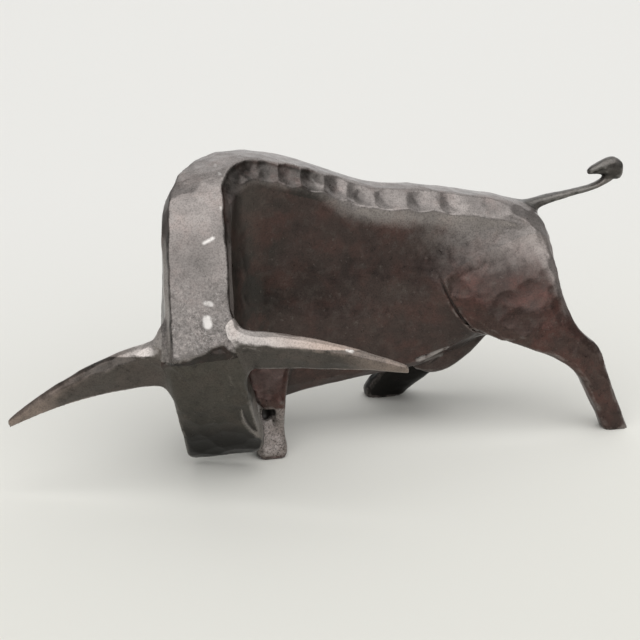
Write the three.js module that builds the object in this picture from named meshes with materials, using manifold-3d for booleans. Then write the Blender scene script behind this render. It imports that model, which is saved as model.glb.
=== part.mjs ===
// A table bull in hammered iron: a heavy slab-sided trunk whose neck is bent round to the bull's left, a
// hanging head with a wide crescent of four-sided horns, four splayed legs and a rod tail that ends in a
// rolled tuft. The trunk is one forging. Head, horns, legs, sheath and tail are forged apart, and each is let
// into a socket cut in the piece that carries it.
//
// Millimetres, +Z up. The trunk runs along X with the rump at +X, and the left flank faces -Y.
import * as THREE from "three";
import { mergeVertices } from "three/addons/utils/BufferGeometryUtils.js";
import Module from "manifold-3d";

const wasm = await Module();
wasm.setup();

// Trunk heights, from the surface the bull stands on.
const humpHeight = 125.5;
const loinHeight = 107;
const croupHeight = 98.5;
const pollHeight = 61;
const throatHeight = 50;
const chestHeight = 16;
const bellyHeight = 24.5;
const flankHeight = 34;
const buttockHeight = 62;

// Trunk stations, along the back.
const neckReach = 31;
const throatReach = 8;
const humpStation = 33;
const bellyStation = 92;
const loinStation = 113;
const hipStation = 135;
const croupStation = 155;
const rumpStation = 172.5;

// Trunk thickness, flank to flank, and the hammered band along its top edge.
const neckThickness = 31;
const shoulderThickness = 34;
const barrelThickness = 37;
const croupThickness = 33;
const rumpThickness = 20;
const neckBandWidth = 23.5;
const humpBandWidth = 20;
const backBandWidth = 13;
const bandCrown = 0.8;
const bevelDrop = 7;
const ringsPerStation = 3;

// Hammer marks down the bevel: the hammer's crown, how deep it bites, and the trunk stations it works
// between.
const hammerRadius = 14;
const markDepth = 1.1;
const firstMarkedStation = 5;
const lastMarkedStation = 13;

// The bend that turns the neck to the bull's left.
const neckTurn = THREE.MathUtils.degToRad(82);
const neckBendRadius = 33;
const neckBendStation = 46;

// The head hangs from the neck's end, turned and rolled against it.
const headTurn = THREE.MathUtils.degToRad(70);
const headRoll = THREE.MathUtils.degToRad(9);
const headReach = 22.5;
const hornHeight = 58;
const headWidth = 28;
const headDepth = 22;
const headSetBack = 8;
const muzzleWidth = 25.5;
const muzzleDepth = 7.5;
const faceLength = 44;
const faceTuck = 22;
const cheekFullness = 2.2;
const scarfDrop = 9;
const headTenon = 7;

// Horns, from the middle of the head to each tip.
const hornSpan = 162;
const leftHornDroop = 12.5;
const rightHornDroop = 16.5;
const leftHornRise = 1.2;
const rightHornRise = 1.7;
const rightHornHang = 3.6;
const hornSweep = 7;
const hornCurl = 1.8;
const hornRootDepth = 15;
const hornTipHeight = 3.8;
const hornTenon = 7;

// Legs: where each sole stands, and how thick each shank is.
const foreStance = 23;
const foreShank = 12.6;
const foreLeftSole = 44;
const foreRightSole = 39;
const shoulderLip = 25;
const hindLeftStance = 28;
const hindRightStance = 35;
const hindShank = 10.6;
const hindLeftSole = 197;
const hindRightSole = 110;
const hockHeight = 34;
const hipHeight = 80;
const haunchInset = 7;

// Tail. Its root lies a little under the croup.
const tailRootDrop = 3;
const tailRootHeight = croupHeight - tailRootDrop;
const tailRise = 7.5;
const tailReach = 31;
const tailRod = 4;
const tuftLength = 16;
const tuftHeight = 11.5;
const tuftThickness = 7;

// Fits.
const seatGap = 0.3;
const slantedFit = 1.7;

const { lerp, smoothstep, clamp } = THREE.MathUtils;
const point = (p) => new THREE.Vector3(...p);

// A point of the unbent bull (along the back, to the bull's right, up) carried round the bend of the neck.
function bent(along, right, up) {
  const ahead = neckBendStation - along;
  const turned = clamp(ahead / neckBendRadius, 0, neckTurn);
  const beyond = Math.max(ahead - neckBendRadius * neckTurn, 0);
  const heading = new THREE.Vector3(-Math.cos(turned), -Math.sin(turned), 0);
  return new THREE.Vector3(
    neckBendStation + Math.max(-ahead, 0) - neckBendRadius * Math.sin(turned),
    -neckBendRadius * (1 - Math.cos(turned)),
    up,
  ).addScaledVector(heading, beyond).add(new THREE.Vector3(heading.y * right, -heading.x * right, 0));
}

const middle = (ring) => ring.reduce((sum, p) => sum.add(p), new THREE.Vector3()).divideScalar(ring.length);

// One closed body from rings of points, fanned shut at both ends and facing out.
function closedLoft(rings) {
  const count = rings[0].length;
  const points = rings.flat();
  const first = points.push(middle(rings[0])) - 1;
  const last = points.push(middle(rings.at(-1))) - 1;
  const faces = [];
  for (let j = 0; j < count; j++) {
    const k = (j + 1) % count;
    for (let i = 0; i + 1 < rings.length; i++) {
      const [a, b, c, d] = [i * count + j, i * count + k, (i + 1) * count + k, (i + 1) * count + j];
      faces.push([a, b, c], [a, c, d]);
    }
    const end = (rings.length - 1) * count;
    faces.push([first, k, j], [last, end + j, end + k]);
  }
  const volume = faces.reduce((sum, [a, b, c]) => sum + points[a].dot(points[b].clone().cross(points[c])), 0);
  const outward = volume < 0 ? faces.map(([a, b, c]) => [a, c, b]) : faces;
  return new THREE.BufferGeometry().setFromPoints(points).setIndex(outward.flat());
}

// A smooth run of points through the stations' own, with a number of steps between each two.
function through(points, steps) {
  const curve = new THREE.CatmullRomCurve3(points.map(point));
  const total = (points.length - 1) * steps;
  return Array.from({ length: total + 1 }, (_, i) => curve.getPoint(i / total));
}

// An outline for a limb, as pairs of shares (along the line between the rails, across it). A power of 2 is
// round, and a higher one is square with its corners knocked down.
function rounded(power, sides = 16) {
  const bulge = (c) => Math.sign(c) * Math.abs(c) ** (2 / power);
  return Array.from({ length: sides }, (_, k) => {
    const angle = (2 * Math.PI * k) / sides;
    return [bulge(Math.cos(angle)), bulge(Math.sin(angle))];
  });
}

// A limb lofted between two rails, a and b, with its half thickness across them at each station.
// clearance grows it all round, for the socket it sits in.
function railLoft(stations, outline, { steps = 3, clearance = 0, across = [0, 1, 0] } = {}) {
  const a = through(stations.map((s) => s.a), steps);
  const b = through(stations.map((s) => s.b), steps);
  const halves = through(stations.map((s) => [s.half, 0, 0]), steps);
  const sideways = point(across);
  const rings = a.map((from, i) => {
    const centre = from.clone().add(b[i]).divideScalar(2);
    const along = b[i].clone().sub(from).divideScalar(2);
    along.setLength(along.length() + clearance);
    return outline.map(([u, v]) => centre
      .clone()
      .addScaledVector(along, u)
      .addScaledVector(sideways, v * (halves[i].x + clearance)));
  });
  if (clearance) {
    const lengthen = (ring, next) => {
      const step = middle(ring).sub(middle(next)).setLength(clearance);
      ring.forEach((p) => p.add(step));
    };
    lengthen(rings[0], rings[1]);
    lengthen(rings.at(-1), rings.at(-2));
  }
  return closedLoft(rings);
}

function solid(geometry) {
  const bare = mergeVertices(geometry, 1e-4);
  return new wasm.Manifold(new wasm.Mesh({
    numProp: 3,
    vertProperties: bare.attributes.position.array,
    triVerts: new Uint32Array(bare.index.array),
  }));
}

function geometryOf(manifold) {
  const { vertProperties, triVerts } = manifold.getMesh();
  const geometry = new THREE.BufferGeometry()
    .setAttribute("position", new THREE.BufferAttribute(vertProperties, 3))
    .setIndex(new THREE.BufferAttribute(triVerts, 1));
  geometry.computeVertexNormals();
  return geometry;
}

// The trunk's section from the middle of the back, round one flank, to the middle of the belly: the hammered
// band, the bevel beside it, then a flank that is hollow above and full below. Across is in millimetres, down
// is a share.
function trunkSection(bandHalf, flankHalf, depth) {
  const flank = new THREE.SplineCurve([
    [lerp(bandHalf, flankHalf, 0.6), bevelDrop / depth],
    [lerp(bandHalf, flankHalf, 0.62), 0.2],
    [lerp(bandHalf, flankHalf, 0.78), 0.42],
    [flankHalf, 0.66],
    [flankHalf * 0.93, 0.84],
    [flankHalf * 0.68, 0.955],
    [0, 1],
  ].map((p) => new THREE.Vector2(...p)));
  const crown = bandCrown / depth;
  const band = [[0, -crown], [bandHalf * 0.6, -crown * 0.7], [bandHalf, 0]];
  return [...band.map((p) => new THREE.Vector2(...p)), ...flank.getPoints(13)];
}

// The trunk's main sections: where the top and the bottom edge lie, then the width of the band and the
// thickness. neckEnd runs past the scarf, which cuts it off.
const section = (top, bottom, band, flank) => ({ top, bottom, band, flank });
const poll = section([-neckReach, pollHeight], [-throatReach, throatHeight], neckBandWidth, neckThickness);
const neckEnd = section(
  [-neckReach - 6, pollHeight - 12],
  [-throatReach - 1, throatHeight - 8],
  neckBandWidth,
  neckThickness,
);
const hump = section(
  [humpStation, humpHeight],
  [humpStation + 3, chestHeight],
  humpBandWidth,
  shoulderThickness,
);
const belly = section(
  [bellyStation, lerp(humpHeight, loinHeight, 0.875)],
  [bellyStation, bellyHeight],
  backBandWidth,
  barrelThickness,
);
const loin = section(
  [loinStation, loinHeight],
  [loinStation - 1, bellyHeight + 2.5],
  backBandWidth,
  barrelThickness,
);
const hip = section(
  [hipStation, lerp(loinHeight, croupHeight, 0.47)],
  [hipStation - 5, flankHeight],
  backBandWidth,
  lerp(barrelThickness, croupThickness, 0.25),
);
const croup = section(
  [croupStation, croupHeight],
  [croupStation - 5, lerp(flankHeight, buttockHeight, 0.3)],
  backBandWidth + 1,
  croupThickness,
);
const rump = section(
  [rumpStation, croupHeight - 16],
  [rumpStation - 1.5, buttockHeight],
  backBandWidth,
  rumpThickness,
);

// Sections between two of the main ones. A row holds shares of the way: along and up for the top edge, the
// same for the bottom edge, and one for the widths.
const between = (from, to, rows) => rows.map(([topAlong, topUp, lowAlong, lowUp, wide]) => section(
  [lerp(from.top[0], to.top[0], topAlong), lerp(from.top[1], to.top[1], topUp)],
  [lerp(from.bottom[0], to.bottom[0], lowAlong), lerp(from.bottom[1], to.bottom[1], lowUp)],
  lerp(from.band, to.band, wide),
  lerp(from.flank, to.flank, wide),
));

const trunkStations = [
  neckEnd,
  poll,
  ...between(poll, hump, [
    [0.14, 0.248, 0.18, 0.09, 0],
    [0.266, 0.481, 0.32, 0.265, 0],
    [0.39, 0.67, 0.455, 0.5, 0.3],
    [0.547, 0.845, 0.636, 0.735, 0.6],
    [0.766, 0.955, 0.818, 0.897, 1],
  ]),
  hump,
  ...between(hump, belly, [
    [0.254, 0.105, 0.214, 0, 0.15],
    [0.49, 0.34, 0.464, 0.353, 0.3],
    [0.797, 0.74, 0.768, 0.706, 0.82],
  ]),
  belly,
  loin,
  hip,
  croup,
  ...between(croup, rump, [[0.686, 0.41, 0.65, 0.49, 0.25]]),
  rump,
];

const trunkTops = through(trunkStations.map((s) => [...s.top, s.band / 2]), ringsPerStation);
const trunkBottoms = through(trunkStations.map((s) => [...s.bottom, s.flank / 2]), ringsPerStation);
const trunkRings = trunkTops.map((top, i) => {
  const bottom = trunkBottoms[i];
  const right = trunkSection(top.z, bottom.z, Math.hypot(top.x - bottom.x, top.y - bottom.y));
  const left = right.slice(1, -1).reverse().map((p) => new THREE.Vector2(-p.x, p.y));
  return [...right, ...left].map((p) => bent(lerp(top.x, bottom.x, p.y), p.x, lerp(top.y, bottom.y, p.y)));
});

// One hollow left by a round-faced hammer on the bevel of a trunk ring, between the ring's points at edge and
// lower.
function hammerMark(ring, edge, lower) {
  const bevel = ring.at(edge).clone().sub(ring.at(lower)).normalize();
  const face = ring.at(edge).clone().add(ring.at(lower)).divideScalar(2);
  const outward = face.clone().sub(middle(ring)).projectOnPlane(bevel).normalize();
  const centre = face.addScaledVector(outward, hammerRadius - markDepth);
  const ball = new THREE.IcosahedronGeometry(hammerRadius, 3).deleteAttribute("normal").deleteAttribute("uv");
  return solid(ball.translate(centre.x, centre.y, centre.z));
}

const markedRings = trunkRings.filter((_, i) => (
  i >= firstMarkedStation * ringsPerStation && i <= lastMarkedStation * ringsPerStation && i % 2 === 0
));
const hammerMarks = markedRings.flatMap((ring) => [hammerMark(ring, 2, 3), hammerMark(ring, -2, -3)]);

// The head's own frame: x to the bull's left, y backwards, z up, from the middle of the horn line.
const headFrame = new THREE.Matrix4().makeTranslation(bent(-headReach, 0, hornHeight))
  .multiply(new THREE.Matrix4().makeRotationZ(headTurn - Math.PI / 2))
  .multiply(new THREE.Matrix4().makeRotationY(-headRoll));
const inHead = (geometry) => solid(geometry.applyMatrix4(headFrame));

// Everything of the head's frame on one side of the scarf that joins the head to the neck. The scarf runs
// down and back from the top of the face.
function scarfSide(up, offset = 0) {
  const reach = headWidth;
  const rise = up ? 3 * reach : -3 * reach;
  const corners = [-reach, reach].map((x) => [
    [x, -reach, scarfDrop * 0.5 + offset],
    [x, reach, -scarfDrop * 1.5 + offset],
    [x, reach, rise],
    [x, -reach, rise],
  ].map(point));
  return inHead(closedLoft(corners));
}

// The left cheek stands out further than the right one, by cheekFullness times full twice over. The face
// curves under: a row lies back from the ones above, up to faceTuck at the muzzle, and it reaches lower, to the
// bull's right and out to both sides with it.
function headLoft() {
  const width = (share) => lerp(headWidth, muzzleWidth, share) / 2;
  const rows = [
    { z: 12, front: 1, back: headDepth, half: headWidth / 2, full: 0 },
    { z: 2, front: 0, back: headDepth, half: headWidth / 2, full: 0 },
    { z: -12, front: 0.3, back: headDepth - 1, half: headWidth / 2, full: 0.4 },
    { z: -25, front: 1.5, back: headDepth - 6.5, half: width(0.4), full: 0.9 },
    { z: -36, front: 3.5, back: 3.5 + muzzleDepth + 1.5, half: width(0.8), full: 1 },
    { z: -faceLength + 2, front: 5, back: 5 + muzzleDepth, half: width(1), full: 0.7 },
    { z: -faceLength, front: 6.5, back: 3.5 + muzzleDepth, half: width(1) - 2.5, full: 0.6 },
  ];
  const stations = rows.map((r) => {
    const shift = cheekFullness * r.full;
    const tuck = faceTuck * Math.max(-r.z / faceLength, 0) ** 1.6;
    const edge = (y) => [shift - tuck * 0.18, y + tuck - headSetBack, r.z - tuck * 0.4];
    return { a: edge(r.front), b: edge(r.back), half: r.half + shift + tuck * 0.08 };
  });
  return inHead(railLoft(stations, rounded(6, 24), { steps: 3, across: [1, 0, 0] }));
}

function headTenonBlock(clearance = 0) {
  const stations = [-headTenon, headTenon].map((z) => ({ a: [0, -3.5, z], b: [0, 5.5, z], half: 3.5 }));
  return inHead(railLoft(stations, rounded(8, 12), { steps: 1, across: [1, 0, 0], clearance }));
}

// A four-sided bar: a ridge runs along the front, and the other edges lie on top, at the back and underneath.
// It flares where it meets the head. side is 1 for the bull's left horn and -1 for its right. The faces slant
// across the bar, so the socket grows further along its edges to leave the same gap at the faces.
function hornLoft(side, clearance = 0) {
  const reach = hornSpan / 2;
  const droop = side > 0 ? leftHornDroop : rightHornDroop;
  const rise = side > 0 ? leftHornRise : rightHornRise;
  const hang = side > 0 ? 0 : rightHornHang;
  const rows = [
    { out: headWidth / 2 - hornTenon, top: 9, bottom: -10, deep: 0.7, back: 2 },
    { out: headWidth / 2, top: 12.5, bottom: -14.5, deep: 0.9, back: 2 },
    { out: headWidth / 2 + 4.5, top: 8.2, bottom: -12.4, deep: 1, back: 1.5 },
    { out: reach * 0.4, top: 5.3, bottom: -12, deep: 0.92, back: 0.5 },
    { out: reach * 0.62, top: 3.2, bottom: -10.6, deep: 0.72, back: -hornSweep * 0.3 },
    { out: reach * 0.84, top: 1.4, bottom: -6.9, deep: 0.5, back: -hornSweep * 0.75 },
    { out: reach - 1.5, top: 0.3, bottom: 0.3 - hornTipHeight - 0.8, deep: 0.3, back: -hornSweep },
    { out: reach, top: -0.2, bottom: -hornTipHeight, deep: 0.2, back: -hornSweep },
  ];
  const corners = [[-1, 0], [0.42, -1], [1, -0.15], [0.1, 1]];
  const outline = corners.flatMap((corner, i) => {
    const toward = (other, share) => corner.map((c, axis) => lerp(c, other[axis], share));
    const next = corners[(i + 1) % corners.length];
    return [toward(corners.at(i - 1), 0.12), toward(next, 0.12), toward(next, 0.5).map((c) => c * 1.12)];
  });
  const stations = rows.map((r) => {
    const out = side * r.out;
    const share = Math.max(r.out - headWidth / 2, 0) / (reach - headWidth / 2);
    const drop = droop * share ** hornCurl - 4 * rise * share * (1 - share);
    const bottom = r.bottom - hang * Math.max(1 - 2.2 * share, 0);
    const half = (hornRootDepth / 2) * r.deep;
    return { a: [out, r.back, bottom - drop], b: [out, r.back, r.top - drop], half };
  });
  return inHead(railLoft(stations, outline, { clearance: clearance * slantedFit }));
}

// side is -1 for the bull's left and 1 for its right. The shoulder ends in a lip, and the shank leaves it
// from further in and slopes out to the sole.
function foreLeg(side, clearance = 0) {
  const half = foreShank / 2;
  const x = side < 0 ? foreLeftSole : foreRightSole;
  const at = (out, [front, lower], [rear, upper], thick) => (
    { a: [x - half + front, side * out, lower], b: [x + half + rear, side * out, upper], half: thick }
  );
  const shank = [
    at(foreStance, [0.8, 0], [-0.8, 0], half - 0.6),
    at(foreStance, [-0.2, 2.5], [0.2, 2.5], half),
    at(foreStance - 2, [0.6, 12], [-0.8, 12], half - 0.8),
    at(foreStance - 5, [1, shoulderLip], [-0.5, shoulderLip], half - 1.2),
    at(foreStance - 10, [1, shoulderLip + 14], [0, shoulderLip + 14], half - 1.2),
  ];
  const shoulder = [
    at(foreStance - 1.5, [-1, shoulderLip], [-0.8, 13], 5.8),
    at(foreStance - 2, [-3, shoulderLip + 3], [0.5, 24], 6.4),
    at(foreStance - 10, [-6, 42], [5, 42], 7.5),
    at(foreStance - 17, [-3, 62], [5, 62], 4.5),
  ];
  const square = rounded(4);
  return solid(railLoft(shank, square, { clearance })).add(solid(railLoft(shoulder, square, { clearance })));
}

// The top of a haunch fans out under the flank and tapers off toward the croup. side is -1 for the bull's
// left.
const haunchTop = (side) => [
  { from: [-17, -15], to: [35, 0], out: 5, half: 7.4 },
  { from: [-21.5, -3], to: [28, 8], out: 1.2, half: 4.2 },
  { from: [-15, 3], to: [17, 13], out: 0, half: 2.5 },
].map(({ from, to, out, half }) => {
  const edge = ([along, up]) => [hipStation + along, side * (haunchInset + out), hipHeight + up];
  return { a: edge(from), b: edge(to), half };
});

function hindLeftLeg(clearance = 0) {
  const half = hindShank / 2;
  const x = hindLeftSole;
  const y = -hindLeftStance;
  const toward = (share, inward, height) => (
    [lerp(x, hipStation, share), lerp(y, -haunchInset, inward), height]
  );
  const thigh = (share) => lerp(hockHeight, hipHeight, share);
  const stations = [
    { a: [x - half, y, 0], b: [x + half + 1, y, 0], half: half - 0.3 },
    { a: [x - half - 6, y + 0.5, 13], b: [x + half - 4.5, y + 0.5, 13], half },
    { a: [x - half - 14, y + 1.5, 27], b: [x - half + 0.5, y + 1.5, 28], half: half + 0.6 },
    { a: toward(0.468, 0.13, hockHeight), b: toward(0.13, 0.13, hockHeight + 3.5), half: half + 1.2 },
    { a: toward(0.637, 0.24, thigh(0.09)), b: toward(0.282, 0.24, thigh(0.29)), half: 7.4 },
    { a: toward(0.855, 0.4, thigh(0.185)), b: toward(0.38, 0.42, thigh(0.587)), half: 8.4 },
    { a: toward(1.08, 0.56, thigh(0.35)), b: toward(0.403, 0.61, thigh(0.826)), half: 8.4 },
    ...haunchTop(-1),
  ];
  return solid(railLoft(stations, rounded(3.4), { clearance }));
}

function hindRightLeg(clearance = 0) {
  const half = hindShank / 2 + 2.5;
  const x = hindRightSole;
  const y = hindRightStance;
  const toward = (along, inward, height) => [hipStation + along, lerp(y, haunchInset, inward), height];
  const thigh = lerp(hockHeight, hipHeight, 0.39);
  const stations = [
    { a: [x - half - 1, y, 0], b: [x + half + 1, y, 0], half: 5.2 },
    { a: [x - half - 1.5, y - 0.5, 4], b: [x + half + 4, y - 0.5, 3], half: 5.4 },
    { a: [x + 1, y - 7, 20], b: [x + 20, y - 9, 13.5], half: 6 },
    { a: toward(-15, 0.57, hockHeight + 2), b: toward(11, 0.57, hockHeight - 3.5), half: 7 },
    { a: toward(-11, 0.71, thigh), b: toward(25, 0.71, thigh - 4), half: 8 },
    ...haunchTop(1),
  ];
  return solid(railLoft(stations, rounded(3.4), { clearance }));
}

function sheathLoft(clearance = 0) {
  const stations = [
    { a: [110.5, -4, 29], b: [112.5, -4, 26], half: 3.2 },
    { a: [116.5, -4, 34], b: [119, -4, 23.8], half: 5.6 },
    { a: [125, -4, 40], b: [127.5, -4, 25], half: 6.6 },
    { a: [134, -3.5, 46], b: [137.5, -3.5, 31], half: 6 },
    { a: [142, -3, 50], b: [147, -3, 39], half: 4 },
  ];
  return solid(railLoft(stations, rounded(3, 16), { clearance }));
}

// The tail is a rod that leaves the rump as a broad root. Its end is drawn out to a leaf and folded back over
// it.
function tailSolid(clearance = 0) {
  const x = rumpStation - 8;
  const end = x + tailReach;
  const top = tailRootHeight + tailRise;
  const rod = [
    { x: x - 9, z: tailRootHeight - 1, high: 6.5, thick: 8 },
    { x, z: tailRootHeight, high: 6, thick: 7.5 },
    { x: x + tailReach * 0.28, z: tailRootHeight + tailRise * 0.31, high: 4.3, thick: 6 },
    { x: x + tailReach * 0.62, z: tailRootHeight + tailRise * 0.57, high: tailRod * 0.8, thick: 5 },
    { x: end, z: top - 0.4, high: tailRod * 0.75, thick: 5 },
    { x: end + tuftLength * 0.42, z: top + tuftHeight * 0.35, high: tailRod * 1.5, thick: 6 },
  ].map((s) => ({ a: [s.x, 0, s.z - s.high / 2], b: [s.x, 0, s.z + s.high / 2], half: s.thick / 2 }));
  const tuft = [
    { out: 0.72, z: 0.56, high: 0.5, thick: 0.7 },
    { out: 0.62, z: 0.54, high: 0.8, thick: 0.92 },
    { out: 0.42, z: 0.6, high: 0.9, thick: 1 },
    { out: 0.1, z: 0.62, high: 0.56, thick: 0.85 },
    { out: -0.18, z: 0.54, high: 0.3, thick: 0.6 },
    { out: -0.28, z: 0.48, high: 0.2, thick: 0.4 },
  ].map((s) => {
    const from = [end + tuftLength * s.out, 0, top + tuftHeight * (s.z - s.high / 2)];
    const to = [end + tuftLength * s.out, 0, top + tuftHeight * (s.z + s.high / 2)];
    return { a: from, b: to, half: (tuftThickness / 2) * s.thick };
  });
  const outline = rounded(2.3, 12);
  return solid(railLoft(rod, outline, { clearance })).add(solid(railLoft(tuft, outline, { clearance })));
}

const neckAndBack = solid(closedLoft(trunkRings)).subtract(scarfSide(false, seatGap));

const pieces = {
  left_horn: hornLoft(1),
  right_horn: hornLoft(-1),
  front_left_leg: foreLeg(-1),
  front_right_leg: foreLeg(1),
  hind_left_leg: hindLeftLeg(),
  hind_right_leg: hindRightLeg(),
  sheath: sheathLoft(),
  tail: tailSolid(),
};
const horns = [hornLoft(1, seatGap), hornLoft(-1, seatGap)];
const foreLegs = [foreLeg(-1, seatGap), foreLeg(1, seatGap)];
const hindLegs = [hindLeftLeg(seatGap), hindRightLeg(seatGap)];
const limbs = [...foreLegs, ...hindLegs, sheathLoft(seatGap), tailSolid(seatGap)];
const sockets = [...horns, ...limbs, headTenonBlock(seatGap)];

const cut = (body, cutters) => cutters.reduce((left, cutter) => left.subtract(cutter), body);
pieces.head = cut(headLoft().subtract(scarfSide(true)).add(headTenonBlock()), horns);
pieces.trunk = cut(neckAndBack, [...sockets, ...hammerMarks]);

const iron = { roughness: 0.55, metalness: 0.75 };
const colours = {
  trunk: 0x3a302d,
  head: 0x3b3835,
  left_horn: 0x4d4845,
  right_horn: 0x4d4845,
  front_left_leg: 0x4a423f,
  front_right_leg: 0x3a322f,
  hind_left_leg: 0x3f302b,
  hind_right_leg: 0x2a2523,
  sheath: 0x44352f,
  tail: 0x4f4d49,
};

const bull = new THREE.Group();
for (const [name, body] of Object.entries(pieces)) {
  const finish = new THREE.MeshStandardMaterial({ color: colours[name], ...iron });
  const mesh = new THREE.Mesh(geometryOf(body), finish);
  mesh.name = name;
  bull.add(mesh);
}

// The stored frame starts on the floor, under the middle of the bull's bounding box.
const bounds = new THREE.Box3().setFromObject(bull);
const underMiddle = bounds.getCenter(new THREE.Vector3()).setZ(bounds.min.z);
bull.position.copy(underMiddle).negate();

export default bull;
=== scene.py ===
"""Looks of the hammered iron bull.

The CAD solids are read as distances on one lattice, welded into one skin and worked there as a smith would:
hammer hollows, creases and a pocket are cut from it. The skin is then parted again along the CAD's own seams,
so that each CAD node has one closed mesh of its own. Lengths are in millimetres until a mesh is made.
"""
import itertools
import math

import bpy
import numpy as np
import openvdb as vdb
from mathutils import Matrix, Vector
from mathutils.bvhtree import BVHTree


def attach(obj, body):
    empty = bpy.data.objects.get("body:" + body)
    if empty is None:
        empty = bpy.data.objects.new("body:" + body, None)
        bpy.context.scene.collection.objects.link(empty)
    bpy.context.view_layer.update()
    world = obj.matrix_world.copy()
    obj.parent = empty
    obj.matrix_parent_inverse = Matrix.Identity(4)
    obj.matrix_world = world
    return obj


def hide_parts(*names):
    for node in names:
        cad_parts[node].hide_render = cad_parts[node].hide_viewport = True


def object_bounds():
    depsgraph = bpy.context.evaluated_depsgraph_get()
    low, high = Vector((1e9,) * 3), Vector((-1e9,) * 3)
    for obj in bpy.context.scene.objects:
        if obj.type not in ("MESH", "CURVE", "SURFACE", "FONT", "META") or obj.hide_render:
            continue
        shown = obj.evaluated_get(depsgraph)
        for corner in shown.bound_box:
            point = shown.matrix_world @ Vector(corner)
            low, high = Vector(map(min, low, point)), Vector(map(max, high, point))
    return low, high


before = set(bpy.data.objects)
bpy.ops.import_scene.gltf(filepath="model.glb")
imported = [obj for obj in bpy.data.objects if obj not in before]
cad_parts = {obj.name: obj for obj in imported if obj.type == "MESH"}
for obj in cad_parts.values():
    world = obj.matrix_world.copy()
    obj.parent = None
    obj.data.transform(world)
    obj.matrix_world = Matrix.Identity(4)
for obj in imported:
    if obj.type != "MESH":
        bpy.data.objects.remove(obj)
cad_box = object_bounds()

METRE = 1000.0
# The lattice: from one point to the next, how far from a surface its distances are known, and the room about
# the bull. A coarse field has a value at every STRIDE-th point.
VOXEL = 0.6
REACH = 7.0
MARGIN = 3.0
STRIDE = 3

# Node: how far its weld with its neighbours is filled, in millimetres, and its material slot.
WELDS = {
    "trunk": (0.0, "trunk_iron"),
    "head": (1.5, "head_iron"),
    "left_horn": (6.0, "horn_iron"),
    "right_horn": (6.0, "horn_iron"),
    "front_left_leg": (2.5, "leg_iron"),
    "front_right_leg": (2.5, "leg_iron"),
    "hind_left_leg": (7.0, "leg_iron"),
    "hind_right_leg": (7.0, "leg_iron"),
    "sheath": (1.5, "trunk_iron"),
    "tail": (3.5, "tail_iron"),
}
NODES = list(WELDS)

# The bull's own coordinates: the middle of the front left sole, the bend of the neck, and the line of the
# back from the end of the neck to the rump, as in the CAD source.
FRONT_LEFT_SOLE = np.array([44.0, -23.0, 0.0])
BEND_STATION = 46.0
BEND_RADIUS = 33.0
BEND_TURN = math.radians(82)
TOP_LINE = [
    (-37, 49), (-31, 61), (-22, 77), (-14, 92), (-6, 104), (4, 115.5), (18, 122.6), (33, 125.5),
    (48, 123.8), (62, 120), (80, 113.5), (92, 109.8), (113, 107), (135, 103), (155, 98.5), (167, 92),
    (172.5, 82.5),
]

# The camera that took the photograph, in the bull's own coordinates.
EYE = np.array([-96.688, -672.592, 282.731])
AHEAD = np.array([0.22937, 0.91996, -0.31790])
RIGHTWARD = np.array([0.970, -0.242, 0.0])
UPWARD = np.cross(RIGHTWARD, AHEAD)
FOCUS = 1700.0
PHOTO_WIDTH = 640


def unit(v):
    """Vectors at a length of 1."""
    return v / np.maximum(np.linalg.norm(v, axis=-1, keepdims=True), 1e-9)


def smooth(low, high, value):
    """0 below low, 1 above high and an easy ramp between them."""
    share = np.clip((value - low) / (high - low), 0, 1)
    return share * share * (3 - 2 * share)


def sole_middle(node):
    """The middle of the flat that a leg stands on, in millimetres of the frame."""
    points = np.array([v.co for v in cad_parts[node].data.vertices]) * METRE
    sole = points[points[:, 2] < points[:, 2].min() + 0.01]
    return (sole.min(0) + sole.max(0)) / 2


offset = sole_middle("front_left_leg") - FRONT_LEFT_SOLE


# The lattice
lattice = vdb.createLinearTransform(voxelSize=VOXEL)
lowest, highest = (np.array(corner) * METRE - offset for corner in cad_box)
FIRST = np.floor((lowest - MARGIN) / VOXEL).astype(int)
COUNT = np.ceil((highest + MARGIN) / VOXEL).astype(int) - FIRST + 1
WHOLE = tuple(slice(0, n) for n in COUNT)


def part_of(low, high):
    """The slices of the lattice that hold the box from low to high."""
    start = np.clip(np.floor(low / VOXEL).astype(int) - FIRST, 0, COUNT)
    stop = np.clip(np.ceil(high / VOXEL).astype(int) + 1 - FIRST, 0, COUNT)
    return tuple(slice(a, b) for a, b in zip(start, stop))


def axes(part):
    """x, y and z of a part's lattice points, ready to broadcast."""
    return np.ix_(*((np.arange(s.start, s.stop) + first) * VOXEL for s, first in zip(part, FIRST)))


def corner_of(part):
    """Where a part's first point lies, counted in lattice points from the origin."""
    return tuple(int(s.start + first) for s, first in zip(part, FIRST))


def lattice_points(part):
    return np.stack(np.broadcast_arrays(*axes(part)), axis=-1).reshape(-1, 3)


def from_bar(part, a, b):
    """How far along the bar from a to b a part's lattice points lie, from 0 to 1, and how far from it."""
    run = b - a
    x, y, z = (axis - start for axis, start in zip(axes(part), a))
    share = np.clip((x * run[0] + y * run[1] + z * run[2]) / (run @ run), 0, 1)
    away = np.sqrt((x - share * run[0]) ** 2 + (y - share * run[1]) ** 2 + (z - share * run[2]) ** 2)
    return share, away


def distances(points, part, **faces):
    """Signed distances from a closed surface at a part's lattice points."""
    grid = vdb.FloatGrid.createLevelSetFromPolygons(
        points.astype(np.float32), transform=lattice, halfWidth=REACH / VOXEL, **faces
    )
    values = np.empty([s.stop - s.start for s in part], np.float32)
    grid.copyToArray(values, ijk=corner_of(part))
    return values


def surface(values, part):
    """Points and quads of the surface where values are zero."""
    grid = vdb.FloatGrid(REACH)
    grid.copyFromArray(np.ascontiguousarray(values, np.float32), ijk=corner_of(part))
    grid.transform = lattice
    return grid.convertToQuads()


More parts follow.
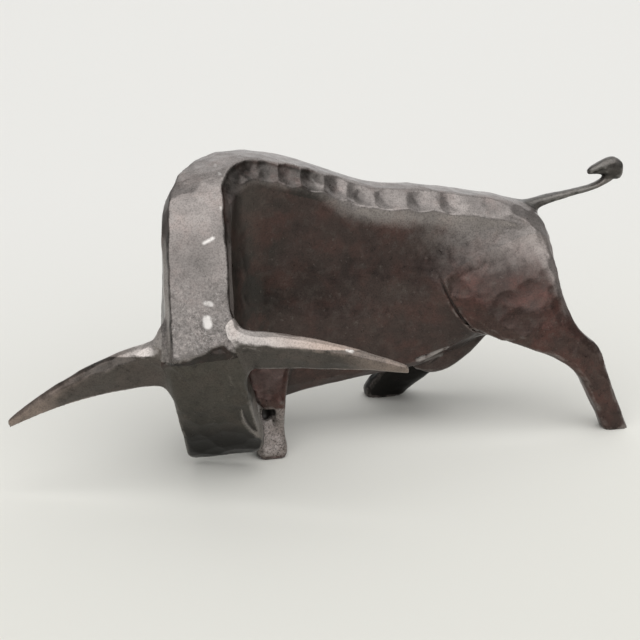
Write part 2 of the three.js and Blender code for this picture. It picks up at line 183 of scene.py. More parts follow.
def sample(values, points, part=WHOLE, stride=1):
    """A part's values at points, weighted from the eight lattice points round each. stride is the number of
    lattice points from one value to the next."""
    place = (points / VOXEL - corner_of(part)) / stride
    cell = np.clip(np.floor(place).astype(int), 0, np.array(values.shape) - 2)
    share = place - cell
    total = np.zeros(len(points), np.float32)
    for corner in itertools.product((0, 1), repeat=3):
        weight = np.prod(np.where(corner, share, 1 - share), axis=1)
        total += weight * values[tuple((cell + corner).T)]
    return total


def slope(values, points, part=WHOLE):
    """The direction in which a part's values rise at points, as long as they rise there."""
    steps = np.eye(3) * VOXEL
    return np.stack([
        (sample(values, points + step, part) - sample(values, points - step, part)) / (2 * VOXEL)
        for step in steps
    ], axis=1)


def join(a, b, fill):
    """The union of two distance fields, its inner corner filled over that many millimetres."""
    near = np.maximum(fill - np.abs(a - b), 0) / fill
    return np.minimum(a, b) - near * near * fill / 4


# The CAD solids, each on its own part of the lattice
def cad_mesh(node):
    """Points of a node's solid in the bull's own coordinates, and its triangles."""
    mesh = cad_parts[node].data
    mesh.calc_loop_triangles()
    points = np.empty(len(mesh.vertices) * 3, np.float32)
    mesh.vertices.foreach_get("co", points)
    corners = np.empty(len(mesh.loop_triangles) * 3, np.int32)
    mesh.loop_triangles.foreach_get("vertices", corners)
    return points.reshape(-1, 3) * METRE - offset, corners.reshape(-1, 3).astype(np.uint32)


parts = {}
own = {}
for node in NODES:
    points, triangles = cad_mesh(node)
    parts[node] = part_of(points.min(0) - REACH, points.max(0) + REACH)
    own[node] = distances(points, parts[node], triangles=triangles)

# body is the distance from the welded skin. nearest says which node's solid is closest, and closest and
# second say how far away the two nearest solids are.
body = np.full(COUNT, REACH, np.float32)
nearest = np.zeros(COUNT, np.uint8)
closest = np.full(COUNT, REACH * 2, np.float32)
second = np.full(COUNT, REACH * 2, np.float32)
for i, node in enumerate(NODES):
    part = parts[node]
    mine = own[node]
    fill = WELDS[node][0]
    body[part] = join(body[part], mine, fill) if fill else np.minimum(body[part], mine)
    closer = mine < closest[part]
    second[part] = np.where(closer, closest[part], np.minimum(second[part], mine))
    closest[part] = np.where(closer, mine, closest[part])
    nearest[part] = np.where(closer, i, nearest[part])

skin, quads = surface(body, WHOLE)
body = distances(skin, WHOLE, quads=quads)


# The bull's own coordinates, with the neck's bend undone
def unbend(points):
    """Along the back, to the bull's right, and up, for points of the bull as it stands. Also the directions
    in which its right and its head lie there."""
    x = points[:, 0] - BEND_STATION
    y = points[:, 1] + BEND_RADIUS
    turned = np.clip(np.arctan2(-x, y), 0, BEND_TURN)
    outward = np.stack([-np.sin(turned), np.cos(turned)], axis=1)
    heading = np.stack([-np.cos(turned), -np.sin(turned)], axis=1)
    spot = np.stack([x, y], axis=1)
    beyond = np.einsum("ij,ij->i", spot, heading)
    right = np.einsum("ij,ij->i", spot, outward) - BEND_RADIUS
    along = BEND_STATION - BEND_RADIUS * turned - beyond
    return np.stack([along, right, points[:, 2]], axis=1), outward, heading


def own_directions(vectors, outward, heading):
    """Vectors as they lie along the back, to the bull's right, and up."""
    along = -np.einsum("ij,ij->i", vectors[:, :2], heading)
    right = np.einsum("ij,ij->i", vectors[:, :2], outward)
    return np.stack([along, right, vectors[:, 2]], axis=1)


top_along, top_height = np.array(TOP_LINE).T


def lie(points, normals):
    """Where points lie on the bull: its own coordinates, how far below the top line, how far each faces
    along the top line's own outward direction, and how far it faces each of the bull's own directions."""
    placed, outward, heading = unbend(points)
    facing = own_directions(normals, outward, heading)
    rise = np.gradient(top_height, top_along)
    climb = np.interp(placed[:, 0], top_along, rise)
    up = unit(np.stack([-climb, np.ones_like(climb)], axis=1))
    below = (np.interp(placed[:, 0], top_along, top_height) - placed[:, 2]) * up[:, 1]
    return placed, below, facing[:, 0] * up[:, 0] + facing[:, 2] * up[:, 1], facing


# Places that are told by a pixel of the photograph
tree = BVHTree.FromPolygons(skin.tolist(), quads.tolist())


def seen(column, row):
    """The point of the skin that the photograph shows at a pixel, and its outward direction."""
    ray = unit(AHEAD * FOCUS + RIGHTWARD * (column - PHOTO_WIDTH / 2) - UPWARD * (row - PHOTO_WIDTH / 2))
    spot, _, _, _ = tree.ray_cast(Vector(EYE), Vector(ray))
    if spot is None:
        raise ValueError(f"no part of the bull is at pixel {column}, {row}")
    spot = np.array(spot)
    return spot, unit(slope(body, spot[None]))[0]


# The ragged line where the neck's bright band ends on the face, from left to right in the photograph.
FACE_LINE = [
    (150, 356), (162, 361), (170, 362), (178, 361), (187, 361), (194, 358), (201, 356), (208, 352),
    (213, 348), (219, 346), (224, 345), (229, 350), (235, 353), (241, 350), (247, 348), (254, 350),
    (262, 349),
]
face_points = np.array([seen(*pixel)[0] for pixel in FACE_LINE])
FACE_DEPTH = (face_points @ AHEAD).max()


def under_face_line(points):
    """How far points lie under the ragged line. It runs out to nothing behind the face."""
    line = np.interp(points @ RIGHTWARD, face_points @ RIGHTWARD, face_points @ UPWARD)
    under = line - points @ UPWARD
    behind = points @ AHEAD - FACE_DEPTH - 0.6 * np.maximum(under, 0)
    return under * smooth(14, 4, behind)


def blurred(values, turns):
    """values averaged with their neighbours along each axis, turns times."""
    for _ in range(turns):
        for axis in range(3):
            values = (values + 0.5 * np.roll(values, 1, axis) + 0.5 * np.roll(values, -1, axis)) / 2
    return values


def coarse(values, turns):
    """The coarse field of values, averaged turns times."""
    return blurred(values[::STRIDE, ::STRIDE, ::STRIDE], turns)


# Smith's work on the skin
def hollow(at, outward, ball, depth, ceiling=math.inf):
    """Cuts what a round-faced hammer of the radius ball leaves. The cut runs out to nothing at its reach,
    also where the skin rises there, and leaves all that is above the ceiling."""
    reach = 1.5 * math.sqrt(2 * ball * depth) + VOXEL
    part = part_of(at - reach, at + reach)
    x, y, z = (axis - centre for axis, centre in zip(axes(part), at))
    height = x * outward[0] + y * outward[1] + z * outward[2]
    square = x * x + y * y + z * z
    away = np.sqrt(square - 2 * height * (ball - depth) + (ball - depth) ** 2)
    room = uncut[part] + depth * 1.2 * (1 - square / reach ** 2)
    cut = np.minimum(np.minimum(ball - away, room), ceiling - at[2] - z)
    np.maximum(body[part], cut, out=body[part])


def hammer(where, spacing, ball, depth, seed):
    """Works a region of the skin with hollows about a spacing apart."""
    rng = np.random.default_rng(seed)
    order = rng.permutation(np.flatnonzero(where))
    cells = np.floor(skin[order] / spacing + rng.uniform(0, 1, 3)).astype(int)
    _, first = np.unique(cells, axis=0, return_index=True)
    for i in order[np.sort(first)]:
        hollow(skin[i], faces_out[i], ball * rng.uniform(0.7, 1.4), depth * rng.uniform(0.4, 1.3))


def groove(pixels, widths, depth, soft):
    """Cuts a crease through the points of the skin at pixels. Its width goes from the first to the last of
    widths, its depth is told in widths, and its edges are rounded over the length soft."""
    spots = [seen(*pixel) for pixel in pixels]
    wide = np.linspace(*widths, len(spots))
    bottoms = [at - outward * w * (depth - 0.5) for (at, outward), w in zip(spots, wide)]
    room = max(wide) * (1 + depth) + soft
    for a, b, from_wide, to_wide in zip(bottoms, bottoms[1:], wide, wide[1:]):
        part = part_of(np.minimum(a, b) - room, np.maximum(a, b) + room)
        share, away = from_bar(part, a, b)
        body[part] = -join(-body[part], away - (from_wide + share * (to_wide - from_wide)) / 2, soft)


# How far the face lies under the neck's bright end, and the room about the ragged line that is worked on,
# below and above it.
FACE_STEP = 0.5
FACE_ROOM_BELOW = [4, 4, 22]
FACE_ROOM_ABOVE = [4, 12, 8]

# The line between haunch and rump, as pixels of the photograph, and how far from it the skin is worked on.
HAUNCH_SEAM = [(456, 262), (472, 252), (490, 246), (510, 244)]
HAUNCH_ROUND = 9.0


def rub_out_neck_seam():
    """The straight seam of the neck's end is rubbed out, and the face then lies a little lower than the
    neck's bright end, near the middle of the ragged line."""
    part = part_of(face_points.min(0) - FACE_ROOM_BELOW, face_points.max(0) + FACE_ROOM_ABOVE)
    grid = lattice_points(part)
    seam_height = face_points[:5, 2].mean()
    across = grid @ RIGHTWARD - (face_points @ RIGHTWARD).mean()
    under = under_face_line(grid)
    right_end = smooth(20, 14, across)
    rub = smooth(9, 5, np.abs(grid[:, 2] - seam_height)) * smooth(-14, -10, across) * right_end
    step = FACE_STEP * smooth(0, 0.7, under) * smooth(15, 4, under) * smooth(-9, -3, across) * right_end
    values = sample(body, grid)
    values += rub * (sample(coarse(body, 2), grid, stride=STRIDE) - values) + step
    body[part] = values.reshape(body[part].shape)


def rub_out_haunch_seam():
    """The haunch runs into the rump without a line."""
    spots = np.array([seen(*pixel)[0] for pixel in HAUNCH_SEAM])
    part = part_of(spots.min(0) - HAUNCH_ROUND, spots.max(0) + HAUNCH_ROUND)
    grid = lattice_points(part)
    away = np.min([np.linalg.norm(grid - spot, axis=1) for spot in spots], axis=0)
    values = sample(body, grid)
    values += smooth(HAUNCH_ROUND, 4, away) * (sample(coarse(body, 7), grid, stride=STRIDE) - values)
    body[part] = values.reshape(body[part].shape)


rub_out_neck_seam()
rub_out_haunch_seam()
uncut = body.copy()

# What the hammer works: regions of the skin, told by node, by place on the bull and by direction. The skin
# that is open is neither on the floor nor in a corner between two forms.
faces_out = unit(slope(body, skin))
place, below, topward, facing = lie(skin, faces_out)
along, _, up = place.T
cells = np.round(skin / VOXEL).astype(int) - FIRST
node_at = np.array(NODES)[nearest[tuple(np.clip(cells, 0, COUNT - 1).T)]]
of_node = {node: node_at == node for node in NODES}
trunk_skin = of_node["trunk"]
horn_skin = of_node["left_horn"] | of_node["right_horn"]
leg_skin = np.isin(node_at, [n for n in NODES if n.endswith("_leg")])
swell = sample(coarse(uncut, 4), skin, stride=STRIDE)
open_skin = (skin[:, 2] > 3) & (swell > -0.12)
bevel = trunk_skin & (below > 1.5) & (below < 10) & (np.abs(facing[:, 1]) > 0.5)
neck_band = trunk_skin & (topward > 0.85) & (along < 30)

# Region, from hollow to hollow, the hammer's radius and the depth
hammer(trunk_skin & (below > 8) & open_skin, 15, 110, 0.7, seed=11)
hammer(trunk_skin & ~bevel & open_skin, 8, 45, 0.32, seed=1)
hammer(trunk_skin & (topward > 0.85) & (up > 95), 10, 60, 0.4, seed=12)
hammer(leg_skin & open_skin & (up > 12), 8, 40, 0.4, seed=2)
hammer(leg_skin & ~of_node["hind_right_leg"] & open_skin & (up < 40), 6, 22, 0.3, seed=3)
hammer(bevel & (along < 78), 6, 34, 0.4, seed=4)
hammer(bevel & (along >= 78), 9, 60, 0.4, seed=15)
hammer(trunk_skin & (along < 80) & (np.abs(below - 1) < 0.8) & (topward < 0.9), 6, 9, 0.35, seed=5)
hammer(trunk_skin & (along < 80) & (np.abs(below - 10.5) < 1) & open_skin, 7, 8, 0.45, seed=14)
hammer(horn_skin, 8, 50, 0.3, seed=6)
hammer(of_node["head"] & open_skin, 9, 45, 0.4, seed=7)
hammer(of_node["head"] & open_skin & (up > 28), 5, 12, 0.25, seed=13)
hammer(neck_band & (up < 92), 5, 11, 0.28, seed=8)
hammer(of_node["tail"], 5, 14, 0.2, seed=9)
hammer(of_node["sheath"], 8, 40, 0.3, seed=10)

# The hollows that stand out, as pixels of the photograph with the hammer's radius and the depth: the scoops
# of the bevel over the shoulder, the round ones on the back, the planes of the face, the dents of the neck
# and the wide hollows of the sheath and the flank.
HOLLOWS = [
    (240, 187, 20, 0.5), (253, 173, 30, 0.7), (267, 178, 12, 0.6), (280, 173, 15, 0.6), (286, 182, 9, 0.5),
    (295, 177, 18, 0.7), (308, 181, 13, 0.7), (320, 182, 10, 0.7), (333, 184, 22, 0.7), (348, 190, 13, 0.6),
    (361, 197, 6, 1.3), (371, 201, 7, 1.2), (363, 213, 11, 0.9), (388, 196, 24, 0.5), (424, 204, 18, 1.0),
    (404, 213, 24, 0.4), (456, 212, 50, 0.6), (215, 378, 34, 0.6), (196, 396, 26, 0.5), (234, 398, 24, 0.5),
    (184, 380, 14, 0.5), (203, 408, 16, 0.5), (225, 412, 12, 0.4), (220, 436, 60, 0.4), (208, 322, 9, 0.5),
    (216, 266, 12, 0.4), (184, 277, 14, 0.5), (202, 288, 10, 0.4), (217, 288, 10, 0.5), (192, 309, 12, 0.5),
    (175, 308, 9, 0.4), (213, 304, 9, 0.4), (438, 357, 26, 0.9), (395, 325, 90, 0.8), (350, 270, 120, 0.8),
]
for column, row, ball, depth in HOLLOWS:
    hollow(*seen(column, row), ball=ball, depth=depth)

# The lens-shaped facet on the left cheek, cut from the side
CHEEK = (251, 427)
cheek, _ = seen(*CHEEK)
hollow(cheek, unit(RIGHTWARD - 0.5 * AHEAD), ball=36, depth=1.3)

# The shank's outer side is filled up until it stands straight.
SHANK_SIDE = [(283, 404), (283, 430), (284, 446)]
SHANK_ROUND = 2.4
SHANK_FILL = 1.0
spots = [at - outward * SHANK_ROUND for at, outward in (seen(*pixel) for pixel in SHANK_SIDE)]
for a, b in zip(spots, spots[1:]):
    part = part_of(np.minimum(a, b) - REACH, np.maximum(a, b) + REACH)
    _, away = from_bar(part, a, b)
    body[part] = join(body[part], away - SHANK_ROUND, SHANK_FILL)

# The dark pocket under the shoulder's torn lip
POCKET = (267, 413)
LIP_HEIGHT = 22.0
hollow(*seen(*POCKET), ball=4.6, depth=3.4, ceiling=LIP_HEIGHT)

# The creases, as pixels of the photograph: the cold shut of the thigh, the slit beside the sheath, the crack
# at the right horn's root and the fold of the tail's tuft.
THIGH_CREASE = [(430, 260), (440, 278), (447, 292), (454, 306), (464, 322), (474, 331), (484, 335)]
SHEATH_CREASE = [(416, 360), (426, 356), (436, 352), (446, 348), (454, 344)]
HORN_CRACK = [(163, 361), (169, 356), (172, 352), (176, 349)]
TUFT_FOLD = [(594, 173), (600, 171), (606, 170), (611, 167)]
groove(THIGH_CREASE, (0.6, 1.4), depth=1.1, soft=0.4)
groove(SHEATH_CREASE, (0.9, 0.5), depth=1.2, soft=0.3)
groove(HORN_CRACK, (0.7, 0.7), depth=1.0, soft=0.2)
groove(TUFT_FOLD, (0.9, 0.5), depth=0.8, soft=0.3)

# Bright nicks and rubbed spots, the last two being a painted highlight along the sheath's lit facet: two
# pixels of the photograph, half the width and how bright.
MARKS = [
    ((204, 243), (213, 238), 0.5, 1.0), ((207, 319), (208, 325), 1.5, 0.75),
    ((221, 207), (221, 209), 0.4, 0.9), ((219, 172), (220, 174), 0.3, 0.9),
    ((215, 163), (215, 165), 0.3, 0.9), ((206, 303), (211, 304), 0.9, 0.6),
    ((361, 198), (362, 199), 0.4, 0.7), ((313, 179), (316, 182), 0.4, 0.6),
    ((348, 350), (352, 351), 0.6, 0.8), ((420, 360), (447, 350), 1.5, 0.35),
    ((428, 361), (441, 356), 1.5, 0.35),
]
mark_ends = [(seen(*a)[0], seen(*b)[0], half, bright) for a, b, half, bright in MARKS]


def marked(points):
    """How bright the marks are at points, 0 off them."""
    most = np.zeros(len(points))
    for a, b, half, bright in mark_ends:
        run = b - a
        share = np.clip((points - a) @ run / (run @ run), 0, 1)
        away = np.linalg.norm(points - a - share[:, None] * run, axis=1)
        most = np.maximum(most, bright * smooth(half + 0.5, half - 0.2, away))
    return most


# Shares of each vertex's surface that the materials read. SHARP_RISE is how far the blurred distance lies
# over the true one where an edge is fully sharp.
HEAD_MIDDLE = skin[of_node["head"]].mean(0)
SHEATH_FACET = (434, 356)
sheath_facet, _ = seen(*SHEATH_FACET)
SHARP_RISE = 0.25
fine_blur = blurred(body, 4)


def shares(points, normals, node):
    """Named values from 0 to 1 at points of the skin, for the materials."""
    # Below the top line, facing along its outward direction, along the back, up, out from the head's middle
    placed, low, top, _ = lie(points, normals)
    run, _, height = placed.T
    out = np.linalg.norm(points - HEAD_MIDDLE, axis=1)
    under = under_face_line(points)
    rise = normals[:, 2]
    none = 0 * run
    horn = node.endswith("horn")
    face = smooth(0, 0.8, under) * (horn or node in ("head", "trunk"))

    # The band over the neck and the hump is worn bright, and so are the back and the bevel; the top of the
    # rump is lighter partly from wear and partly as a painted sheen.
    crest = smooth(0.45, 0.85, top) * smooth(9, 4, low) * (1 - face)
    if node in ("head", "trunk"):
        crest = np.maximum(crest, smooth(-8, -4, under) * smooth(12, 4, run) * (under < 0))
    bevelled = smooth(0.5, 2.5, low) * smooth(12, 8, low) * smooth(90, 60, run) * (1 - face)
    bevelled *= 0.35 + 0.55 * smooth(104, 88, height)
    back = smooth(52, 90, run) * smooth(20, 7, low)
    rump = smooth(90, 145, run) * smooth(58, 94, height)
    neck = crest * (1 - 0.36 * smooth(112, 98, height) * smooth(20, 0, run))
    wear_and_highlight = np.maximum.reduce([neck, back, rump, bevelled])
    # The front of the trunk and the face take the olive scale partly as soot and partly as painted shade; the
    # bevel takes it as soot.
    soot_and_shade = np.maximum(np.maximum(smooth(75, 20, run), face), bevelled > 0.05)

    # Wear, painted highlights, soot and painted shade on the other nodes
    if horn:
        # The horns' upward faces are painted lighter as a highlight, more so further out; their far ends are
        # worn.
        wear_and_highlight = smooth(-0.1, 0.3, rise) * (1 - face) * (0.62 + 0.38 * smooth(34, 52, out))
        wear_and_highlight = np.maximum(wear_and_highlight, 0.45 * smooth(52, 74, out))
        soot_and_shade = 0.4 * smooth(60, 40, out)
    elif node == "head":
        # The cheek's lens, where it faces right, takes a painted highlight, and the head darkens toward the
        # muzzle as painted shade.
        lens = smooth(14, 11, np.linalg.norm(points - cheek, axis=1))
        lens *= smooth(0.35, 0.5, normals @ RIGHTWARD)
        wear_and_highlight = np.maximum(np.maximum(0.15 * (1 - face), crest), 0.75 * lens)
        soot_and_shade = 0.5 + 0.5 * smooth(38, 26, height)
        face = face * (1 - lens)
    elif node == "front_left_leg":
        wear_and_highlight = 0.85 * smooth(LIP_HEIGHT + 1, LIP_HEIGHT - 1, height) * smooth(0.5, 2.5, height)
        soot_and_shade = none + 0.2
    elif node == "front_right_leg":
        # The far front leg is dark olive all over: painted shade.
        wear_and_highlight, soot_and_shade = none, none + 1
    elif node == "hind_right_leg":
        # The far hind leg is dark below as painted shade.
        wear_and_highlight, soot_and_shade = 0.3 * rump, smooth(60, 45, height)
    elif node == "sheath":
        # The sheath's facet takes a painted highlight.
        wear_and_highlight = 0.75 * smooth(8, 5, np.linalg.norm(points - sheath_facet, axis=1))
    elif node == "tail":
        # The tail's top is painted lighter as a highlight.
        wear_and_highlight, soot_and_shade = 0.1 + 0.3 * smooth(-0.1, 0.5, rise), none

    # Painted shade: the muzzle, the leg under the belly, the tail's underside and the shoulder's pocket are
    # painted black.
    painted_shade = np.maximum.reduce([
        face * smooth(28, 14, height),
        (node == "hind_right_leg") * smooth(60, 45, height),
        0.8 * (node == "tail") * smooth(0.1, -0.5, rise),
        0.95 * (node == "front_left_leg") * smooth(-0.9, -1.5, sample(uncut, points)),
    ])
    sharp = (sample(fine_blur, points) - sample(body, points)) / SHARP_RISE
    return {
        "wear_and_highlight": wear_and_highlight * (1 - painted_shade),
        "soot_and_shade": soot_and_shade,
        "edge": np.clip(sharp, 0, 1),
        "pit": np.clip(-sharp, 0, 1),
        "silver": crest * smooth(100, 62, height) * smooth(20, 0, run) * (node in ("head", "trunk")),
        "tip": smooth(34, 66, out) * horn,
        "painted_shade": painted_shade,
        "mark": marked(points) * (horn or node in ("head", "trunk", "sheath")),
        "grit": smooth(LIP_HEIGHT + 1, LIP_HEIGHT - 1, height) * (node == "front_left_leg") * (1 - painted_shade),
    }


# One closed mesh for each node
def snap(points, side, part):
    """Brings the points that lie where skin and seam meet onto their common line, so that no gap shows."""
    cell = np.floor(points / VOXEL).astype(int) - corner_of(part)
    cell = np.clip(cell, 0, np.array(side.shape) - 2)
    meets = np.ones(len(points), bool)
    for values in (body[part], side):
        around = np.stack([
            values[tuple((cell + corner).T)] for corner in itertools.product((0, 1), repeat=3)
        ])
        meets &= (around.min(0) < 0) & (around.max(0) > 0)
    line = points[meets].copy()
    for _ in range(4):
        out = unit(slope(body, line))
        line -= out * sample(body, line)[:, None]
        across = slope(side, line, part)
        across -= out * np.einsum("ij,ij->i", across, out)[:, None]
        size = np.maximum(np.einsum("ij,ij->i", across, across), 0.05)
        line -= across * np.clip(sample(side, line, part) / size, -VOXEL, VOXEL)[:, None]
    moved = points.copy()
    moved[meets] = line
    return moved


def corner_normals(points, normals, faces):
    """Faces of the skin are shaded by its slope, on both sides of a seam alike. The cut faces are flat."""
    a, b, c, d = points[faces].transpose(1, 0, 2)
    flat = unit(np.cross(c - a, d - b))
    corners = normals[faces]
    on_skin = (np.abs(sample(body, points)) < 0.15)[faces].all(1)
    on_skin &= np.einsum("ijk,ik->ij", corners, flat).min(1) > 0.3
    return np.where(on_skin[:, None, None], corners, flat[:, None, :])


def quad_mesh(name, points, faces):
    """A smooth mesh of quads, from points in millimetres of the bull's own coordinates."""
    mesh = bpy.data.meshes.new(name)
    mesh.vertices.add(len(points))
    mesh.vertices.foreach_set("co", ((points + offset) / METRE).astype(np.float32).ravel())
    mesh.loops.add(faces.size)
    mesh.loops.foreach_set("vertex_index", faces.astype(np.int32).ravel())
    mesh.polygons.add(len(faces))
    mesh.polygons.foreach_set("loop_start", np.arange(0, faces.size, 4, dtype=np.int32))
    mesh.update(calc_edges=True)
    mesh.shade_smooth()
    return mesh


def piece(node):
    """Makes a node's share of the skin one closed mesh. Its seam with another node lies where their solids
    are equally near."""
    part = parts[node]
    i = NODES.index(node)
    other = np.where(nearest[part] == i, second[part], closest[part])
    side = np.clip((own[node] - other) / 2, -REACH, REACH)
    points, faces = surface(np.maximum(body[part], side), part)
    points = snap(points.astype(float), side, part)
    normals = unit(slope(body, points))
    mesh = quad_mesh("bull_" + node, points, faces)
    mesh.normals_split_custom_set(corner_normals(points, normals, faces).reshape(-1, 3))
    for name, values in shares(points, normals, node).items():
        layer = mesh.attributes.new(name, "FLOAT", "POINT")
        layer.data.foreach_set("value", values.astype(np.float32))
    _, slot = WELDS[node]
    shape = bpy.data.objects.new("bull_" + node, mesh)
    bpy.context.scene.collection.objects.link(shape)
    shape.data.materials.append(IRONS[slot])
    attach(shape, "root")
    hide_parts(node)


# Materials
def colour(value):
    """The linear colour of an sRGB triple from 0 to 255."""
    parts_of_one = [v / 255 for v in value]
    return [v / 12.92 if v < 0.04045 else ((v + 0.055) / 1.055) ** 2.4 for v in parts_of_one] + [1.0]


class Nodes:
    """A short way to write a material's node tree."""

    def __init__(self, name):
        self.material = bpy.data.materials.new(name)
        self.material.use_nodes = True
        self.tree = self.material.node_tree
        self.shader = self.tree.nodes["Principled BSDF"]

    def link(self, source, target):
        self.tree.links.new(source, target)

    def put(self, socket, value):
        if isinstance(value, bpy.types.NodeSocket):
            self.link(value, socket)
        else:
            socket.default_value = value

    def attribute(self, name):
        node = self.tree.nodes.new("ShaderNodeAttribute")
        node.attribute_name = name
        return node.outputs["Fac"]

    def noise(self, scale, detail, roughness=0.55):
        place = self.tree.nodes.new("ShaderNodeTexCoord")
        node = self.tree.nodes.new("ShaderNodeTexNoise")
        node.inputs["Scale"].default_value = scale
        node.inputs["Detail"].default_value = detail
        node.inputs["Roughness"].default_value = roughness
        self.link(place.outputs["Object"], node.inputs["Vector"])
        return node.outputs["Fac"]

    def ramp(self, value, low, high, start=0.0, end=1.0):
        node = self.tree.nodes.new("ShaderNodeMapRange")
        node.interpolation_type = "SMOOTHSTEP"
        self.put(node.inputs["Value"], value)
        for name, number in (("From Min", low), ("From Max", high), ("To Min", start), ("To Max", end)):
            node.inputs[name].default_value = number
        return node.outputs["Result"]

    def math(self, operation, a, b=0.0):
        node = self.tree.nodes.new("ShaderNodeMath")
        node.operation = operation
        self.put(node.inputs[0], a)
        self.put(node.inputs[1], b)
        return node.outputs[0]

    def times(self, a, b):
        return self.math("MULTIPLY", a, b)

    def sum(self, first, *others):
        for value in others:
            first = self.math("ADD", first, value)
        return first

    def mix(self, share, a, b):
        node = self.tree.nodes.new("ShaderNodeMix")
        node.data_type = "RGBA"
        colours = [s for s in node.inputs if s.type == "RGBA"]
        self.put(node.inputs["Factor"], share)
        self.put(colours[0], a)
        self.put(colours[1], b)
        return [s for s in node.outputs if s.type == "RGBA"][0]

    def bump(self, height, distance, strength, under=None):
        node = self.tree.nodes.new("ShaderNodeBump")
        node.inputs["Distance"].default_value = distance
        node.inputs["Strength"].default_value = strength
        self.put(node.inputs["Height"], height)
        if under is not None:
            self.link(under, node.inputs["Normal"])
        return node.outputs["Normal"]


# Colours that all nodes share
PALE_CLOUD = (88, 78, 72)
DARK_CLOUD = (36, 32, 29)
PALE_BLOT = (92, 85, 79)
DARK_BLOT = (32, 28, 25)
SCUFF = (110, 102, 96)
# The colour of the painted shade
SHADE_BLACK = (28, 26, 23)
LEAD = (112, 109, 106)
BLOOM = (156, 140, 134)
HORN_TIP = (160, 140, 127)
ISLAND = (176, 172, 168)
PALE_GRIT = (178, 175, 172)
DARK_GRIT = (58, 53, 49)
PIT = (34, 30, 27)
GRAIN = (26, 23, 21)
MARK = (212, 208, 204)


def noises(n):
    """The noises that the iron's colours and bumps share, from the widest to the finest."""
    return {
        "cloud": n.noise(20, detail=4),
        "mottle": n.noise(48, detail=6),
        "patch": n.noise(90, detail=6, roughness=0.6),
        "blot": n.noise(240, detail=5, roughness=0.6),
        "scuff": n.noise(560, detail=3),
        "grain": n.noise(1500, detail=2),
        "pits": n.noise(1150, detail=4, roughness=0.8),
    }


def forge_scale(n, noise, brown, olive, rust):
    """Dark scale: brown, or olive where there is soot and painted shade, with rusty patches, clouds, blots
    and scuffs, and painted black shade over all.
    """
    soot_and_shade = n.ramp(n.sum(n.attribute("soot_and_shade"), noise["mottle"], -0.5), 0.15, 0.85)
    dark = n.mix(soot_and_shade, colour(brown), colour(olive))
    dark = n.mix(n.ramp(noise["patch"], 0.42, 0.68, 0, 0.55), dark, colour(rust))
    dark = n.mix(n.ramp(noise["cloud"], 0.5, 0.68, 0, 0.5), dark, colour(PALE_CLOUD))
    dark = n.mix(n.ramp(noise["cloud"], 0.47, 0.3, 0, 0.6), dark, colour(DARK_CLOUD))
    dark = n.mix(n.ramp(noise["blot"], 0.52, 0.64, 0, 0.2), dark, colour(PALE_BLOT))
    dark = n.mix(n.ramp(noise["blot"], 0.46, 0.36, 0, 0.25), dark, colour(DARK_BLOT))
    dark = n.mix(n.ramp(noise["scuff"], 0.64, 0.7, 0, 0.3), dark, colour(SCUFF))
    return n.mix(n.attribute("painted_shade"), dark, colour(SHADE_BLACK))


def worn_and_highlit_metal(n, noise, worn_and_highlit):
    """Grey metal with the scale worn off, also used for painted highlights: speckled on the lower neck,
    warmer toward the horns' tips.
    """
    def shade(factor):
        return colour([v * factor for v in worn_and_highlit])

    silver = n.attribute("silver")
    light = n.mix(n.ramp(noise["mottle"], 0.4, 0.6), colour(worn_and_highlit), shade(0.88))
    light = n.mix(n.ramp(noise["blot"], 0.5, 0.62, 0, 0.2), light, shade(0.72))
    light = n.mix(n.times(silver, 0.3), light, colour(LEAD))
    light = n.mix(n.times(n.ramp(noise["scuff"], 0.53, 0.6, 0, 0.4), silver), light, shade(1.22))
    light = n.mix(n.times(n.ramp(noise["scuff"], 0.45, 0.38, 0, 0.5), silver), light, shade(0.65))
    light = n.mix(n.ramp(noise["patch"], 0.5, 0.7, 0, 0.35), light, colour(BLOOM))
    return n.mix(n.ramp(n.attribute("tip"), 0.0, 1.0, 0.0, 0.8), light, colour(HORN_TIP))


def iron(slot, brown, olive, worn_and_highlit, rust):
    """Hammered iron: scale where it is neither worn bare nor painted light, with grit, pits, grain and bright
    marks over both.
    """
    n = Nodes("bull_" + slot)
    noise = noises(n)
    blot, pits = noise["blot"], noise["pits"]
    share = n.sum(n.attribute("wear_and_highlight"), n.times(blot, 0.5), n.times(noise["cloud"], 0.5), -0.5)
    share = n.ramp(share, 0.1, 0.9)
    worn_edge = n.times(n.ramp(n.attribute("edge"), 0.3, 0.9, 0, 0.6), n.ramp(blot, 0.35, 0.6))
    dark = forge_scale(n, noise, brown, olive, rust)
    base = n.mix(n.math("MAXIMUM", share, worn_edge), dark, worn_and_highlit_metal(n, noise, worn_and_highlit))
    silver = n.attribute("silver")
    islands = n.times(n.ramp(noise["patch"], 0.5, 0.56), silver)
    base = n.mix(n.times(islands, 0.15), base, colour(ISLAND))
    rough = n.math("MAXIMUM", n.times(silver, n.ramp(noise["mottle"], 0.35, 0.6)), n.attribute("grit"))
    base = n.mix(n.times(n.ramp(pits, 0.56, 0.66, 0, 0.8), rough), base, colour(PALE_GRIT))
    base = n.mix(n.times(n.ramp(pits, 0.47, 0.38, 0, 0.9), rough), base, colour(DARK_GRIT))
    base = n.mix(n.ramp(n.attribute("pit"), 0.15, 0.8, 0, 0.7), base, colour(PIT))
    base = n.mix(n.ramp(noise["grain"], 0.4, 0.7, 0, 0.35), base, colour(GRAIN))
    mark = n.times(n.attribute("mark"), n.ramp(blot, 0.3, 0.5))
    base = n.mix(mark, base, colour(MARK))
    n.link(base, n.shader.inputs["Base Color"])
    n.link(n.ramp(blot, 0.3, 0.7, 0.27, 0.4), n.shader.inputs["Roughness"])
    n.shader.inputs["Metallic"].default_value = 0.6
    coarse_bump = n.bump(n.noise(240, detail=2), 0.0003, 0.4)
    n.link(n.bump(n.times(pits, rough), 0.0004, 0.5, coarse_bump), n.shader.inputs["Normal"])
    return n.material


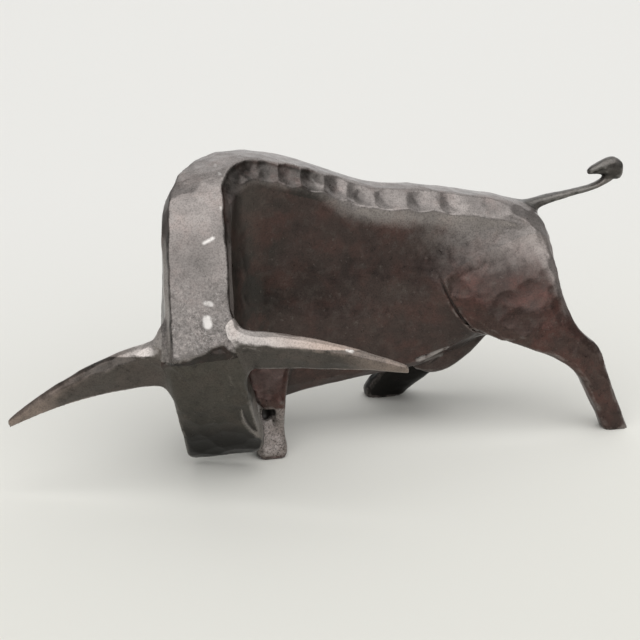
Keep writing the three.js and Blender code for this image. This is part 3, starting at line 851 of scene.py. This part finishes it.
# Slot: its scale where it is brown and where it is sooty or in painted shade, its worn metal, which also
# paints the highlights, and its rust.
IRONS = {
    slot: iron(slot, *colours) for slot, colours in {
        "trunk_iron": [(66, 54, 50), (48, 44, 40), (148, 141, 137), (86, 60, 54)],
        "head_iron": [(78, 74, 67), (60, 57, 51), (140, 134, 128), (80, 72, 65)],
        "horn_iron": [(82, 77, 72), (64, 61, 56), (202, 195, 190), (96, 86, 80)],
        "leg_iron": [(72, 56, 51), (40, 37, 33), (156, 147, 142), (98, 63, 56)],
        "tail_iron": [(80, 77, 73), (62, 60, 56), (146, 142, 137), (88, 80, 74)],
    }.items()
}

for node in NODES:
    piece(node)


# The stage: one sheet of paper, painted a little darker toward the viewer as shade
NEAR_PAPER = (225, 224, 217)
FAR_PAPER = (229, 228, 224)
FLOOR_HALF = 6.0


def paper():
    n = Nodes("floor_paper")
    place = n.tree.nodes.new("ShaderNodeTexCoord")
    split = n.tree.nodes.new("ShaderNodeSeparateXYZ")
    n.link(place.outputs["Object"], split.inputs["Vector"])
    shade = n.mix(n.ramp(split.outputs["Y"], -0.15, 0.5), colour(NEAR_PAPER), colour(FAR_PAPER))
    n.link(shade, n.shader.inputs["Base Color"])
    n.shader.inputs["Roughness"].default_value = 0.9
    return n.material


floor_mesh = bpy.data.meshes.new("floor")
corners = [(x * FLOOR_HALF, y * FLOOR_HALF, 0.0) for x, y in ((-1, -1), (1, -1), (1, 1), (-1, 1))]
floor_mesh.from_pydata(corners, [], [(0, 1, 2, 3)])
floor_mesh.materials.append(paper())
floor = bpy.data.objects.new("floor", floor_mesh)
bpy.context.scene.collection.objects.link(floor)


def softbox(name, toward, strength, spread):
    """A lamp far off, in the direction toward, and as wide as spread in degrees."""
    data = bpy.data.lights.new(name, "SUN")
    data.energy = strength
    data.angle = math.radians(spread)
    light = bpy.data.objects.new(name, data)
    light.rotation_euler = Vector(toward).to_track_quat("Z", "Y").to_euler()
    bpy.context.scene.collection.objects.link(light)


softbox("front", (-0.1, -0.65, 1.0), 2.9, 90)
softbox("back", (0.35, 0.65, 0.5), 1.0, 70)

world = bpy.data.worlds.new("studio")
bpy.context.scene.world = world
world.use_nodes = True
sky = world.node_tree.nodes["Background"]
sky.inputs["Color"].default_value = (0.9, 0.91, 0.92, 1)
sky.inputs["Strength"].default_value = 0.12

# The photograph's camera
lens = bpy.data.cameras.new("photo_camera")
lens.sensor_width = 36
lens.lens = lens.sensor_width * FOCUS / PHOTO_WIDTH
lens.clip_start = 0.01
camera = bpy.data.objects.new("photo_camera", lens)
turned = Matrix([RIGHTWARD, UPWARD, -AHEAD]).transposed().to_4x4()
camera.matrix_world = Matrix.Translation((EYE + offset) / METRE) @ turned
bpy.context.scene.collection.objects.link(camera)
bpy.context.scene.camera = camera
bpy.context.scene.view_settings.view_transform = "Standard"
